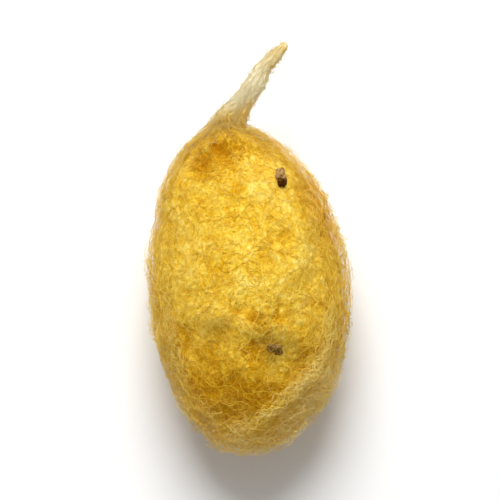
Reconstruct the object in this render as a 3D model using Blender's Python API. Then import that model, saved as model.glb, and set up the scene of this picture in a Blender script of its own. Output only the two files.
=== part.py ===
"""A golden silk cocoon, lying on its side.

The cocoon is spun as one piece: the felted wall, the loose floss round it and the pale silk tail
that is drawn out of one end. Two crumbs of plant debris are caught in the floss. The solid here is
the outer form of the floss, so it reaches the tips of the loose fibres.

Units are metres and +Z is up. The origin is the middle of the flat spot that the cocoon rests on,
and +Y runs along the cocoon towards the end with the tail.
"""

import math

import bmesh
import bpy
from mathutils import Matrix, Vector, noise

MM = 0.001

# Driving dimensions
COCOON_LENGTH = 37.6 * MM  # from end to end, over the floss and without the tail
COCOON_WIDTH = 22.8 * MM
COCOON_DEPTH = 21.8 * MM  # before it is pressed flat underneath
PRESSED_DEPTH = 0.9 * MM  # how much of that depth the flat spot takes away
TAIL_HALF_WIDTH = 1.15 * MM
TAIL_HALF_THICKNESS = 0.60 * MM
CRUMB_GAP = 0.3 * MM  # between a crumb and the pocket that it sits in

# The form of the body
HALF = Vector((COCOON_WIDTH, COCOON_LENGTH, COCOON_DEPTH)) / 2
CENTRE_HEIGHT = HALF.z - PRESSED_DEPTH
LEAN = 0.055  # how far the body shifts to -X for each unit of length towards the tail
BOW = 3.5  # both its ends bend to -X as well: by this, per metre, times their distance squared
BODY_CUTS = 24  # across each side of the cube that is rounded into the body
LUMPS = (  # spacing and height of the lumps that cover the body
    (6.5 * MM, 0.42 * MM),
    (2.4 * MM, 0.28 * MM),
)
DENTS = (  # x, y, reach, depth: seen from above
    (-3.1 * MM, 14.4 * MM, 1.8 * MM, 0.80 * MM),  # two hollows on the shoulder, beside the tail
    (-5.7 * MM, 13.0 * MM, 1.5 * MM, 0.50 * MM),
    (0.6 * MM, 12.6 * MM, 1.8 * MM, 0.35 * MM),
    (-1.6 * MM, 7.2 * MM, 1.4 * MM, 0.35 * MM),
    (3.2 * MM, 3.4 * MM, 1.4 * MM, 0.40 * MM),
    (-0.9 * MM, -4.1 * MM, 1.3 * MM, 0.55 * MM),  # two dimples over the lip
    (2.7 * MM, -4.7 * MM, 1.2 * MM, 0.45 * MM),
    (3.0 * MM, -8.8 * MM, 1.7 * MM, 0.60 * MM),  # hollow with the lower crumb
    (-4.6 * MM, -9.4 * MM, 1.8 * MM, 0.35 * MM),
    (-1.6 * MM, -12.8 * MM, 1.8 * MM, 0.40 * MM),
)
LIP = (  # x, y of points along the lip, seen from above
    (-9.4 * MM, -6.8 * MM),
    (-6.0 * MM, -5.0 * MM),
    (-2.6 * MM, -5.6 * MM),
    (3.0 * MM, -6.2 * MM),
    (7.4 * MM, -8.0 * MM),
)
LIP_RAISED = 0.28 * MM  # the lip across the body stands this far out
LIP_DROP = 0.30 * MM  # and the wall just past it lies this far lower
LIP_WIDTH = 0.9 * MM
LIP_FADE = 6.0 * MM  # the drop fades out over this length towards the near end
FOLDS = (  # start x, y, end x, y, width, height: folds of floss that are drawn down the sides
    (10.2 * MM, -3.0 * MM, 7.2 * MM, -10.5 * MM, 0.9 * MM, 0.45 * MM),
    (7.2 * MM, -10.5 * MM, 0.5 * MM, -16.6 * MM, 0.9 * MM, 0.50 * MM),
    (-10.0 * MM, -5.5 * MM, -5.4 * MM, -14.2 * MM, 0.9 * MM, 0.40 * MM),
    (-9.6 * MM, 9.4 * MM, -6.4 * MM, 14.6 * MM, 0.9 * MM, 0.40 * MM),
    (-6.4 * MM, 14.6 * MM, -3.2 * MM, 17.8 * MM, 1.3 * MM, 0.55 * MM),
    (8.2 * MM, 5.4 * MM, 6.2 * MM, -1.6 * MM, 0.8 * MM, -0.35 * MM),
    (8.4 * MM, 0.6 * MM, 5.2 * MM, -4.6 * MM, 0.8 * MM, -0.35 * MM),
    (1.0 * MM, -9.4 * MM, -0.6 * MM, -14.2 * MM, 0.8 * MM, 0.35 * MM),
)

# The tail: x, y, z along its middle, and its width there as a share of the full width
TAIL_ROUTE = (
    (-5.0 * MM, 12.8 * MM, 13.2 * MM, 1.80),
    (-3.7 * MM, 15.6 * MM, 13.2 * MM, 2.00),
    (-2.4 * MM, 18.2 * MM, 13.0 * MM, 1.70),
    (-0.9 * MM, 20.6 * MM, 12.9 * MM, 0.98),
    (0.5 * MM, 22.8 * MM, 13.0 * MM, 0.96),
    (1.5 * MM, 24.6 * MM, 13.2 * MM, 0.72),
    (2.9 * MM, 26.0 * MM, 13.6 * MM, 0.58),
    (4.1 * MM, 27.2 * MM, 14.1 * MM, 0.30),
)
TAIL_STEPS = 4  # between two points of the route
TAIL_SIDES = 14
TAIL_RIDGES = 5  # lengthwise ridges of the twisted silk
RIDGE_SHARE = 0.14
ROOT_TURN, TIP_TURN = math.radians(-38), math.radians(12)  # the tail's root lies along the shoulder

# The crumbs: name, x, y, (width, length, thickness), depth of its middle below the silk's outer
# form, turn from +Y seen from above, base colour
FLECK_SIZE = (1.35 * MM, 2.5 * MM, 0.9 * MM)
CRUMB_SIZE = (1.4 * MM, 2.1 * MM, 0.9 * MM)
CRUMBS = (
    ("bark_fleck", 3.5 * MM, 10.9 * MM, FLECK_SIZE, 0.30 * MM, math.radians(-4), (0.045, 0.025, 0.012)),
    ("leaf_crumb", 2.9 * MM, -8.6 * MM, CRUMB_SIZE, 0.25 * MM, math.radians(65), (0.09, 0.07, 0.03)),
)
CRUMB_SUBDIVISIONS = 3
CRUMB_ROUGHNESS = 0.22  # height of a crumb's knobs, as a share of its half size

SILK_COLOUR = (0.80, 0.49, 0.055)


def clear_scene():
    for obj in list(bpy.data.objects):
        bpy.data.objects.remove(obj, do_unlink=True)


def new_collection(name):
    collection = bpy.data.collections.new(name)
    bpy.context.scene.collection.children.link(collection)
    return collection


def new_material(name, colour, roughness):
    material = bpy.data.materials.new(name)
    material.use_nodes = True
    shader = material.node_tree.nodes["Principled BSDF"]
    shader.inputs["Base Color"].default_value = (*colour, 1.0)
    shader.inputs["Roughness"].default_value = roughness
    shader.inputs["Metallic"].default_value = 0.0
    material.diffuse_color = (*colour, 1.0)
    return material


def object_from(bm, name, collection):
    mesh = bpy.data.meshes.new(name)
    bm.to_mesh(mesh)
    bm.free()
    mesh.shade_smooth()
    obj = bpy.data.objects.new(name, mesh)
    collection.objects.link(obj)
    return obj


def as_helper(obj):
    """Marks a shape that only joins or cuts another one."""
    obj.hide_render = True
    obj.display_type = "WIRE"
    return obj


def boolean(obj, other, operation):
    modifier = obj.modifiers.new(f"{operation.lower()}_{other.name}", "BOOLEAN")
    modifier.operation = operation
    modifier.solver = "EXACT"
    modifier.object = other


def bell(distance, reach):
    """1 at no distance, falling smoothly to nothing past the reach."""
    return math.exp(-((distance / reach) ** 2))


def distance_to_line(point, start, end):
    run = end - start
    share = max(0.0, min(1.0, (point - start).dot(run) / run.length_squared))
    return (point - start - share * run).length


def aside(y):
    """Where the body's middle line lies along X at this place along its length."""
    return -LEAN * y - BOW * y**2


def lip_height(seen):
    """The raised lip across the body, and the lower wall beyond it."""
    pairs = list(zip(LIP, LIP[1:]))
    away = min(distance_to_line(seen, Vector(a), Vector(b)) for a, b in pairs)
    height = LIP_RAISED * bell(away, LIP_WIDTH)
    for (x0, y0), (x1, y1) in pairs:
        if x0 <= seen.x < x1:
            past = y0 + (y1 - y0) * (seen.x - x0) / (x1 - x0) - seen.y
            if past > 0:
                height -= LIP_DROP * (1 - bell(past, LIP_WIDTH)) * bell(past, LIP_FADE)
    return height


def relief(plain):
    """How far the forms on the upper side raise the surface at this point."""
    above = plain.z / HALF.z
    if above <= 0:
        return 0.0
    seen = Vector((plain.x + aside(plain.y), plain.y))
    height = lip_height(seen)
    height -= sum(depth * bell((seen - Vector((x, y))).length, reach) for x, y, reach, depth in DENTS)
    for x0, y0, x1, y1, width, raised in FOLDS:
        away = distance_to_line(seen, Vector((x0, y0)), Vector((x1, y1)))
        height += raised * bell(away, width)
    return height * min(1.0, 2.5 * above)


def body_point(direction):
    """The surface point of the body in this direction from its centre."""
    plain = Vector(d * h for d, h in zip(direction, HALF))
    outward = Vector(d / h for d, h in zip(direction, HALF)).normalized()
    lumps = sum(height * noise.noise(plain / spacing) for spacing, height in LUMPS)
    point = plain + outward * (lumps + relief(plain))
    return point + Vector((aside(plain.y), 0, CENTRE_HEIGHT))


def cocoon_body(collection):
    bm = bmesh.new()
    bmesh.ops.create_cube(bm, size=2.0)
    bmesh.ops.subdivide_edges(bm, edges=bm.edges, cuts=BODY_CUTS, use_grid_fill=True)
    for vert in bm.verts:
        even = Vector(math.tan(c * math.pi / 4) for c in vert.co)
        vert.co = body_point(even.normalized())
    return object_from(bm, "cocoon", collection)


def catmull_rom(p, q, r, s, t):
    """The value at share t of the way from q to r, on a smooth curve through all four values."""
    bend = (2 * p - 5 * q + 4 * r - s) * t**2
    return 0.5 * (2 * q + (r - p) * t + bend + (3 * q - p - 3 * r + s) * t**3)


def smooth_route(route, steps):
    """Points of a smooth curve through the route's own points, with the width carried along."""
    ends = [route[0], *route, route[-1]]
    points = []
    for a, b, c, d in zip(ends, ends[1:], ends[2:], ends[3:]):
        for step in range(steps):
            points.append(tuple(catmull_rom(p, q, r, s, step / steps) for p, q, r, s in zip(a, b, c, d)))
    return [*points, route[-1]]


def tail_section():
    """The tail's flat cross-section with its lengthwise ridges, as a closed outline."""
    curve = bpy.data.curves.new("tail_section", "CURVE")
    curve.dimensions = "2D"
    outline = curve.splines.new("POLY")
    outline.points.add(TAIL_SIDES - 1)
    for i, point in enumerate(outline.points):
        angle = 2 * math.pi * i / TAIL_SIDES
        ridge = 1 + RIDGE_SHARE * math.cos(TAIL_RIDGES * angle)
        across = TAIL_HALF_WIDTH * ridge * math.cos(angle)
        through = TAIL_HALF_THICKNESS * ridge * math.sin(angle)
        point.co = (across, through, 0, 1)
    outline.use_cyclic_u = True
    section = bpy.data.objects.new("tail_section", curve)
    bpy.context.scene.collection.objects.link(section)
    return section


def silk_tail(collection):
    """The tail as a closed mesh whose wide root lies inside the body."""
    points = smooth_route(TAIL_ROUTE, TAIL_STEPS)
    section = tail_section()
    curve = bpy.data.curves.new("tail_route", "CURVE")
    curve.dimensions = "3D"
    curve.twist_mode = "Z_UP"
    curve.bevel_mode = "OBJECT"
    curve.bevel_object = section
    curve.use_fill_caps = True
    spline = curve.splines.new("POLY")
    spline.points.add(len(points) - 1)
    for i, (point, (x, y, z, width)) in enumerate(zip(spline.points, points)):
        point.co = (x, y, z, 1)
        point.radius = width
        point.tilt = ROOT_TURN + (TIP_TURN - ROOT_TURN) * i / (len(points) - 1)
    route = bpy.data.objects.new("tail_route", curve)
    bpy.context.scene.collection.objects.link(route)
    bpy.context.view_layer.update()

    graph = bpy.context.evaluated_depsgraph_get()
    mesh = bpy.data.meshes.new_from_object(route.evaluated_get(graph))
    bm = bmesh.new()
    bm.from_mesh(mesh)
    bmesh.ops.remove_doubles(bm, verts=bm.verts, dist=1e-6)
    bmesh.ops.recalc_face_normals(bm, faces=bm.faces)
    for helper in (route, section):
        bpy.data.objects.remove(helper, do_unlink=True)
    return as_helper(object_from(bm, "tail_form", collection))


def floor_block(collection):
    """The block that presses the underside flat at the floor."""
    side = 2 * COCOON_LENGTH
    bm = bmesh.new()
    bmesh.ops.create_cube(bm, size=side)
    bmesh.ops.translate(bm, verts=bm.verts, vec=(0, 0, -side / 2))
    return as_helper(object_from(bm, "floor_block", collection))


def crumb_frame(x, y, depth, turn):
    """A matrix that lays a crumb in the body's upper side at this place, its length turned from +Y."""
    right, far = (x - aside(y)) / HALF.x, y / HALF.y
    direction = Vector((right, far, math.sqrt(1 - right**2 - far**2)))
    outward = Vector(d / h for d, h in zip(direction, HALF)).normalized()
    heading = Vector((-math.sin(turn), math.cos(turn), 0))
    along = (heading - heading.dot(outward) * outward).normalized()
    axes = Matrix((along.cross(outward), along, outward)).transposed()
    return Matrix.Translation(body_point(direction) - depth * outward) @ axes.to_4x4()


def crumb_shape(name, size, matrix, collection, margin=0.0):
    """A knobbly flattened grain of this size, larger all round by the margin."""
    half = Vector(size) / 2 + Vector((margin,) * 3)
    bm = bmesh.new()
    bmesh.ops.create_icosphere(bm, subdivisions=CRUMB_SUBDIVISIONS, radius=1.0)
    for vert in bm.verts:
        knob = 1 + CRUMB_ROUGHNESS * noise.noise(1.7 * vert.co + Vector((len(name), 3.0, 0.0)))
        vert.co = Vector(c * h * knob for c, h in zip(vert.co, half))
    obj = object_from(bm, name, collection)
    obj.matrix_world = matrix
    return obj


def build():
    clear_scene()
    parts = new_collection("silk_cocoon")
    cutters = new_collection("cutters")

    cocoon = cocoon_body(parts)
    cocoon.data.materials.append(new_material("golden_silk", SILK_COLOUR, 0.8))
    boolean(cocoon, silk_tail(cutters), "UNION")
    boolean(cocoon, floor_block(cutters), "DIFFERENCE")

    for name, x, y, size, depth, turn, colour in CRUMBS:
        matrix = crumb_frame(x, y, depth, turn)
        crumb = crumb_shape(name, size, matrix, parts)
        crumb.data.materials.append(new_material(name, colour, 0.7))
        pocket = crumb_shape(f"{name}_pocket", size, matrix, cutters, margin=CRUMB_GAP)
        boolean(cocoon, as_helper(pocket), "DIFFERENCE")


build()
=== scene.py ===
"""The looks of a golden silk cocoon: its felted wall, loose floss, silk tail and two crumbs of debris.

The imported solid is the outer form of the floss. The felted wall is drawn in from it, and curly
fibres made as thin tubes fill the space between the two. Units are metres and +Z is up.
"""

import math

import bmesh
import bpy
import numpy as np
from mathutils import Matrix, Vector, noise
from mathutils.bvhtree import BVHTree

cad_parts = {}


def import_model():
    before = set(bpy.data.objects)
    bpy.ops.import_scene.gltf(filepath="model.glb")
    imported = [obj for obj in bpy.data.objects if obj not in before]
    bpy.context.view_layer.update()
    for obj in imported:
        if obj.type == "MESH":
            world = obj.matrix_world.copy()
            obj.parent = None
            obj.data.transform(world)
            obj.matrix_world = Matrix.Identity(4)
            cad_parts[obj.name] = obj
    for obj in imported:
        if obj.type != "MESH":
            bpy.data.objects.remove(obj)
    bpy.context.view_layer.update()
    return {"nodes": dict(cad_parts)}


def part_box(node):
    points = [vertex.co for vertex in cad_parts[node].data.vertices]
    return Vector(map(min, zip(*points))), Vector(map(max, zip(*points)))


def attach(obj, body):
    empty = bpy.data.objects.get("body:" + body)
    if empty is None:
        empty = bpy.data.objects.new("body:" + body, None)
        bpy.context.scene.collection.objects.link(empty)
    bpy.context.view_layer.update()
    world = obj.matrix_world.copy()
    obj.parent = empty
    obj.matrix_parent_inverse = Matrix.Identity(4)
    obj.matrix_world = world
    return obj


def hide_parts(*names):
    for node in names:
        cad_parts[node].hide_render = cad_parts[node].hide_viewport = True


MM = 0.001
SEED = 20
NOISE_SEED = 7
noise.seed_set(NOISE_SEED)  # without this the noise vectors would be different in each run

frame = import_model()

# The body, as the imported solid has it: an oval that leans and bows a little, resting on a flat spot
HALF = np.array([11.4, 18.8, 10.9]) * MM
CENTRE = np.array([0.0, 0.0, 10.0]) * MM
LEAN, BOW = 0.055, 3.5  # how far aside it lies, a metre along Y and a metre squared

CRUMBS = ("bark_fleck", "leaf_crumb")

# The form of the felted wall
WALL_CUTS = 98  # across each side of the cube that is rounded into the wall
TAIL_REACH = 1.07  # a ray that runs further than this share of the oval has met the tail
POCKET_REACH = 2.0 * MM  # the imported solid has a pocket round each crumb, which the wall hasn't
SPREAD_ROUNDS = 120  # rounds of smoothing that close the wall where the tail and the pockets were
FORM_EASE = 24  # and rounds that even it out under the floss
HOLLOWS = np.array([  # x, y, reach, depth of hollows in the top of the wall, with painted shade of deeper ochre in them
    (-3.3, 14.6, 1.5, 0.40),
    (-5.6, 12.9, 1.3, 0.28),
    (-3.2, 11.4, 0.9, 0.16),
    (-1.6, 7.4, 0.9, 0.16),
    (3.2, 3.4, 1.0, 0.20),
    (-3.4, -0.6, 1.1, 0.16),
    (-1.4, -4.3, 1.0, 0.34),
    (0.4, -5.3, 1.0, 0.32),
    (3.0, -5.4, 1.0, 0.26),
    (-6.6, -6.8, 1.2, 0.26),
    (-2.9, -7.4, 1.0, 0.10),
    (0.2, -8.4, 1.0, 0.34),
    (5.6, -10.0, 1.2, 0.24),
    (-1.4, -15.4, 2.3, 0.16),
]) * MM
HOLLOW_UNEVEN = (1.3 * MM, 0.9 * MM)  # spacing and size of what pushes them out of round
HOLLOW_DEPTH = 0.40 * MM  # a hollow of this depth has the full painted shade
PAINTED_LIGHT_AND_SHADE_PATCHES = np.array([  # x, y, reach, tone of broad patches of painted shade (below 0) and painted light (above 0) on the top of the wall
    (-3.6, 13.6, 3.2, -0.36),
    (-0.5, 16.8, 2.4, -0.18),
    (0.5, 9.5, 3.8, 0.10),
    (-1.5, 3.0, 2.6, -0.10),
    (-2.5, -10.2, 3.2, -0.14),
    (7.0, -13.0, 3.4, 0.25),
    (9.8, 10.2, 4.0, -0.60),
    (0.0, -18.0, 3.4, 0.15),
]) * (MM, MM, MM, 1)
PATCH_UNEVEN = (1.6 * MM, 1.1 * MM)
PATCH_MOTTLE = (0.8 * MM, 0.9)  # spacing and share of the mottling in them
GAP_TOP = 0.42 * MM  # floss over the wall where it is thinnest
GAP_SIDES = {  # how much more lies at each side, and by which power it grows towards it
    "right": (0.8 * MM, 1.2), "left": (0.5 * MM, 1), "near": (1.5 * MM, 1.5), "far": (0.5 * MM, 2),
}
GAP_SWELLS = np.array([  # x, y, reach, and how much more floss lies loose there, or is matted on the wall
    (9.8, 9.2, 4.0, 0.25, 1.10),
    (7.6, -12.6, 3.6, 0.40, 0.40),
]) * MM
HALO = (0.80 * MM, 1.90 * MM)  # floss this thick begins to take, and has all of, the duller halo colour
HALO_UNEVEN = (2.2 * MM, 0.5 * MM)  # spacing and size of what makes its border uneven
WALL_PAINTED_SHADE_UNDER_HALO = 0.20  # how far the silk is down its scale of colour there, as painted shade under the floss
LEAST_ROOM = 0.25 * MM
CRUMB_BED = 0.45 * MM  # how far the wall lies below the outer form under a crumb
CRUMB_BED_REACH = 1.6 * MM
DIRT_REACH = 1.5 * MM  # the silk beside the leaf crumb is soiled
DIRT_ASIDE = np.array([-0.7, 0.5, 0.0]) * MM  # mostly on this side of it
CRUMB_THREADS = {"bark_fleck": 2, "leaf_crumb": 12}  # golden threads that run over each crumb
CRUMB_THREAD_RISE, CRUMB_THREAD_LIFT = 0.8 * MM, 0.15 * MM  # over the crumb, and at their ends
CRUMB_THREAD_SWAY = 0.35  # how far they sway from side to side, as a share of their length
SWELLS = ((2.4 * MM, 0.12 * MM), (1.1 * MM, 0.07 * MM))  # spacing and height of the wall's soft swells
BILLOWS = ((0.68 * MM, 0.22 * MM), (0.38 * MM, 0.13 * MM))  # and of its round lumps with creases
BILLOW_MEAN = 0.22
WARP = 0.45  # how far the lumps are pushed out of order, as a share of their spacing
WARP_SCALE = 0.6  # how fast that changes, next to the lumps

# Shades: places on a scale of silk colours, from 0 for the deepest to 1 for the palest
WALL_SHADE, FLOSS_SHADE = 0.56, 0.56
FELT_SHADE, BUNDLE_SHADE, CRUMB_THREAD_SHADE = (0.50, 0.16), (0.72, 0.15), (0.45, 0.15)  # mean, spread
WALL_LUMP_PAINTED_SHADING = 0.50 * MM  # a lump this high would take the wall's silk over the whole scale: painted light on the lumps and painted shade in the creases
FELT_LUMP_PAINTED_SHADING = 0.70 * MM  # and this high the felt fibres', also as painted light and shade
DEEP_END = (-4.0 * MM, -17.0 * MM)  # the silk is painted deeper between these places along Y, partly its own deeper ochre and partly painted shade on the end that turns from the light
DEEP_END_COLOUR_AND_SHADE = 0.40  # how far it goes down its scale there
HOLLOW_PAINTED_SHADE = 0.36  # and in the hollows, as painted shade

# How the fibres turn and where they may go
SWAY_BEATS = (0.15, 0.45)  # how fast a fibre's turning sways from side to side, in radians a step
SIDE_BIAS = 0.4  # how much of it goes to one side, which makes loops
DRIFT = 0.45  # how fast the rest of its turning changes
BOUNCE = 0.45  # how steeply a fibre turns back where it meets the edge of its room
LOWEST = 0.04 * MM  # no fibre lies lower than this over the floor
THIN_END = 0.25  # a fibre's radius at its ends, as a share of that in the middle
UNDERSIDE = (0.2, 0.8)  # where the wall faces down this much, HIDDEN begins and is full
HIDDEN = 0.6  # how much sparser the fibres are on the underside
STEEP = (0.6, 0.3)  # how level the wall is, from 1 down to 0, where RIM_FLOSS begins and is full
RIM_FLOSS = 0.5  # how much denser the loose fibres are on the wall's steep sides
MATTED_HALO = 0.4  # how much sparser the matted fibres are under thick floss
HALO_CLUMPS = 0.2  # how much thicker the loose fibres are there, where threads cling together
FLYAWAYS = 0.08  # share of the loose fibres that stray a little past the outer form
FLYAWAY_HIGH = 1.35  # as a share of their room
STRAY = 0.32 * MM  # but never further past it than this
FELT_NAP = 0.38 * MM  # how high the matted fibres stand on the wall
FULL_ROOM = 1.4 * MM  # the loose fibres grow denser with their room, up to
FULLEST = 1.6  # this many times this room,
DENSITY_POWER = 1.6  # by this power of it,
LEAST_DENSITY = 0.03  # and a few grow everywhere
SKIN, SKIN_FROM = 0.25, 0.72  # share of the loose fibres that keep to the outer skin, and where it begins
LONGEST_STRIDE = 0.45 * MM

FELT_COUNT, FLOSS_COUNT, TAIL_COUNT, SHOULDER_COUNT = 1560, 850, 540, 220  # fibres in a piece

# Ranges of random sizes in mm, first the radii of the fibres and of the loops that they turn in
FELT_RADII = (0.012, 0.022)
FLOSS_RADII = (0.015, 0.028)
BUNDLE_RADII = (0.014, 0.026)
CRUMB_THREAD_RADII = (0.012, 0.022)
TAIL_RADII = (0.014, 0.028)
SHOULDER_RADII = (0.013, 0.026)
FELT_LOOPS = (0.22, 0.60)
SMALLEST_LOOP, LOOP_SPREAD = 0.30, 0.75  # of the loose fibres
CRUMB_THREAD_ENDS = (0.8, 1.6)  # how far from the crumb they meet the wall
CRUMB_THREAD_ASIDE = (-1.1, 1.1)  # how far beside the crumb's middle they pass
SPIKE_HEIGHTS = (0.15, 0.65)  # how far the spikes stand off the tail

# Bundles of pale threads along the wall: x, y in mm of points on the way, their count, how far they
# spread, and the most that they have of the halo's colour
BUNDLES = (
    (
        ((9.6, -1.0), (9.3, -5.2), (8.0, -8.9), (5.8, -11.8), (3.2, -14.2), (0.4, -16.2), (-2.4, -17.0)),
        62, 0.28 * MM, 0.8,
    ),
    (
        ((-9.8, -0.5), (-9.4, -5.0), (-8.4, -9.0), (-7.0, -12.4), (-5.0, -15.2), (-2.0, -16.9)),
        42, 0.34 * MM, 0.8,
    ),
    (
        ((-7.0, -5.0), (-5.6, -5.2), (-4.0, -5.6), (-2.4, -5.5), (-0.6, -6.4), (1.6, -6.8)),
        16, 0.34 * MM, 0.0,
    ),
)
BUNDLE_STRETCH = (0.15, 0.5)  # how much of the way a thread takes up
CURL, CURLS = 0.55 * MM, 7.0  # how far and how often these threads curl from side to side
SWERVE, SWERVES = 2.4, 1.6  # and how they swerve, next to their bundle's spread
BUNDLE_HIGH = (0.55, 1.05)  # how high they run, as a share of their room

# The tail: x, y, z along its middle, and its width there as a share of the full width
TAIL_HALF_WIDTH = 1.15 * MM
TAIL_HALF_THICKNESS = 0.60 * MM
TAIL_ROUTE = np.array([
    (-5.0, 12.8, 13.2, 1.80),
    (-3.7, 15.6, 13.2, 2.00),
    (-2.4, 18.2, 13.0, 1.70),
    (-0.9, 20.6, 12.9, 0.98),
    (0.5, 22.8, 13.0, 0.96),
    (1.5, 24.6, 13.2, 0.72),
    (2.9, 26.0, 13.6, 0.58),
    (4.1, 27.2, 14.1, 0.30),
]) * (MM, MM, MM, 1)
ROOT_TURN, TIP_TURN = math.radians(-38), math.radians(12)
TAIL_PALES = (0.28, 0.47)  # golden at its root, and pale cream from here on
TAIL_THINS = (0.55, 1.0)  # thinner and duller again towards its tip
TIP_DULLS = 0.55
LEFT_LEADS = 0.10  # how much nearer the root the pale silk begins along the tail's left edge
TAIL_LEAVES = 0.20  # share of the route where the ribbon comes out of the wall
STREAKS = ((7, 4, 0.15), (15, 16, 0.12))  # how fine across the ribbon and along it, and their height
BROAD_TEETH, FINE_TEETH = 0.42, 0.70  # how ragged its edges are
SPIKES = 0.4  # share of the strands along the tail that are short and stand off it
SPIKES_LEFT, SPIKES_BACK = 0.35, 0.4  # shares of these on its left, and that lean towards its root
STRAND_STARTS, STRAND_RUNS = (0.14, 0.75), (0.12, 0.45)  # where strands begin, and how far they run
SPIKE_STARTS, SPIKE_RUNS = (0.25, 0.95), (0.02, 0.07)
STRAND_ENDS = (0.94, 1.03)  # but no strand runs on further than somewhere here
STRAND_OUT, STRAND_WINDS = (0.76, 0.86), (0.3, 1.6)  # how far out they lie, and wind round it in radians
LEFT_STRANDS = 0.45  # share of the strands from the shoulder that come from its left
LEFT_TURNS, TURNS = (10, 35, 80), (-32, 40)  # where they begin, in degrees left of the far end
LEFT_RISES, RISES = (-0.1, 0.55), (-0.1, 0.60)  # and how high, as a share of the half height
RIGHT_SHOULDER = math.radians(-8)  # strands from further right join the tail nearer its root
RIGHT_JOINS, JOINS = (0.20, 0.30), (0.24, 0.45)
SHOULDER_RUNS = (0.06, 0.30)  # how far they run on along the tail

# The crumbs: spacing, and height in mm, of their bumps, and where the fleck is drawn in, and how far
ROUGHNESS = ((0.5 * MM, 0.24), (0.2 * MM, 0.12))
BARK_WAIST, WAIST_REACH = (11.2 * MM, 0.16 * MM), 0.3 * MM

# Camera: it looks down on the cocoon from its near end
LOOK_ELEVATION = math.radians(78)
LOOK_DISTANCE = 300 * MM
VIEW_WIDTH = 56 * MM  # what the frame spans at the cocoon
LOOK_AT = Vector((0.0, 4.3, 10.0)) * MM
SENSOR = 36.0

# Light, in metres and watts, and the floor, which lies a little below the rest spot
KEY_PLACE, KEY_SIZE, KEY_POWER = (-0.02, 0.22, 0.37), 0.26, 1.95
FLOOR_HALF, FLOOR_DROP = 1.5, 0.02 * MM


# ---- mesh helpers

def new_object(name, data):
    obj = bpy.data.objects.new(name, data)
    bpy.context.scene.collection.objects.link(obj)
    return obj


def mesh_object(name, points, quads, caps=None, uv=None, values=None):
    """An object from arrays: quads and, at fibre ends, triangles. values are named, one a point."""
    caps = np.empty((0, 3), int) if caps is None else caps
    mesh = bpy.data.meshes.new(name)
    mesh.vertices.add(len(points))
    mesh.vertices.foreach_set("co", points.astype(np.float32).ravel())
    corners = np.concatenate([quads.ravel(), caps.ravel()]).astype(np.int32)
    mesh.loops.add(len(corners))
    mesh.loops.foreach_set("vertex_index", corners)
    starts = np.concatenate([np.arange(len(quads)) * 4, 4 * len(quads) + np.arange(len(caps)) * 3])
    mesh.polygons.add(len(starts))
    mesh.polygons.foreach_set("loop_start", starts.astype(np.int32))
    mesh.update(calc_edges=True)
    if uv is not None:
        mesh.uv_layers.new(name="OFBake").data.foreach_set("uv", uv.astype(np.float32).ravel())
    for key, numbers in (values or {}).items():
        mesh.attributes.new(key, "FLOAT", "POINT").data.foreach_set("value", numbers.astype(np.float32))
    mesh.shade_smooth()
    return new_object(name, mesh)


def unit(vectors):
    return vectors / np.maximum(np.linalg.norm(vectors, axis=-1, keepdims=True), 1e-12)


def dot(a, b):
    return np.sum(a * b, axis=-1, keepdims=True)


def fibre_tubes(name, paths, normals, radii, shades, **tints):
    """Three-sided tubes along paths (fibres, steps, 3), closed at both ends.

    The shades and any other tints are one number a step.
    """
    count, steps = paths.shape[:2]
    paths = paths.copy()
    paths[..., 2] = np.maximum(paths[..., 2], LOWEST)
    along = unit(np.gradient(paths, axis=1))
    across = unit(np.cross(along, normals))
    upward = np.cross(across, along)
    angles = 2 * np.pi * np.arange(3) / 3
    rings = (
        paths[:, :, None]
        + radii[:, :, None, None] * np.cos(angles)[:, None] * across[:, :, None]
        + radii[:, :, None, None] * np.sin(angles)[:, None] * upward[:, :, None]
    )
    index = np.arange(count * steps * 3).reshape(count, steps, 3)
    turned = np.roll(index, -1, axis=2)
    quads = np.stack([index[:, :-1], turned[:, :-1], turned[:, 1:], index[:, 1:]], axis=-1)
    caps = np.concatenate([index[:, 0, ::-1], index[:, -1]])
    uv = fibre_cells(count, steps)
    tints["shade"] = np.clip(shades, 0, 1)
    values = {key: np.repeat(numbers.ravel(), 3) for key, numbers in tints.items()}
    return mesh_object(name, rings.reshape(-1, 3), quads.reshape(-1, 4), caps, uv, values)


def fibre_cells(count, steps):
    """A place on the colour map for each face: one cell a fibre, a column for each step and cap."""
    cells = math.ceil(math.sqrt(count))
    corner = np.stack([np.arange(count) % cells, np.arange(count) // cells], axis=-1).astype(float)
    fill = np.array([0.96 / (steps + 1), 0.9 / 3])
    i, j = np.meshgrid(np.arange(steps - 1) + 1, np.arange(3), indexing="ij")
    around = ((0, 0), (0, 1), (1, 1), (1, 0))
    quad = np.stack([np.stack([i + di, j + dj], -1) for di, dj in around], 2)
    cap = np.array([[(1.0, 0.0), (1.0, 3.0), (0.1, 1.5)], [(steps, 0.0), (steps, 3.0), (steps + 0.9, 1.5)]])
    quad_uv = (corner[:, None, None, None] + quad * fill) / cells
    cap_uv = (corner[None, :, None] + cap[:, None] * fill) / cells
    return np.concatenate([quad_uv.reshape(-1, 2), cap_uv.reshape(-1, 2)])


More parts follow.
